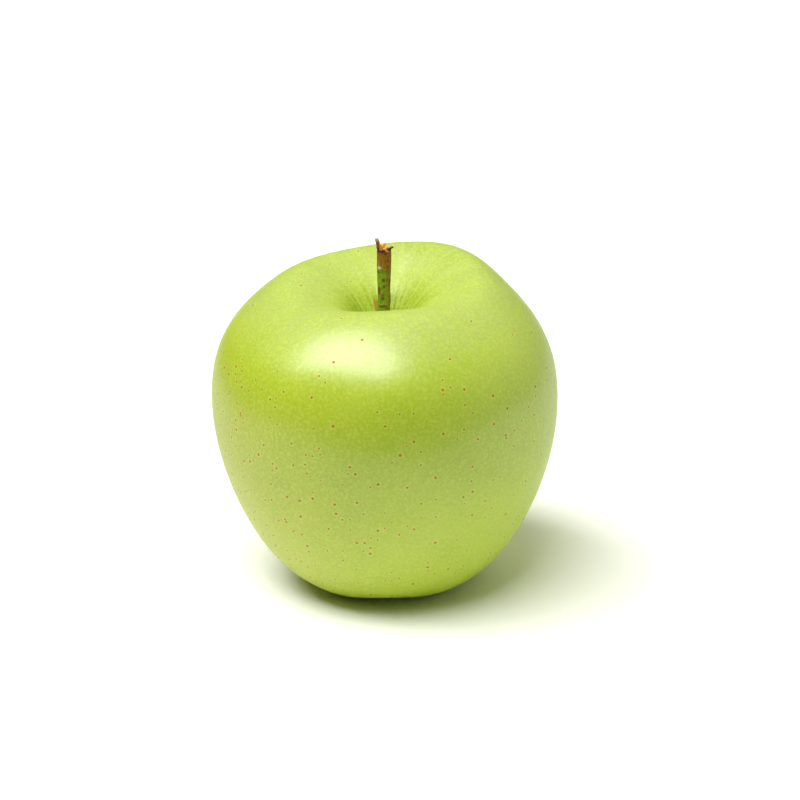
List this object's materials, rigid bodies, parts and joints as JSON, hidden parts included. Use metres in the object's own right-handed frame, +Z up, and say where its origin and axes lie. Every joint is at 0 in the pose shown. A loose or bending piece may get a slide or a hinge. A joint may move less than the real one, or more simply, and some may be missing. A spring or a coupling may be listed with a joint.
{
  "type": "green apple",
  "caption": "Whole green apple as picked, standing on its lobed base, with its torn stem in the top cavity and the dried calyx in the eye underneath.",
  "frame": {"origin": "on the surface that the apple stands on, under the middle of its box", "axes": "+Z up through the stem, -Y towards the apple's front"},
  "size_m": [0.0804, 0.0804, 0.0831],
  "materials": {
    "waxy_skin": "satin",
    "stem_bark": "matte",
    "dried_sepal": "matte",
    "dried_stamen": "matte"
  },
  "bodies": {
    "root": {"fruit": "waxy_skin", "stem": "stem_bark", "calyx": "dried_sepal", "stamens": "dried_stamen"}
  },
  "joints": []
}
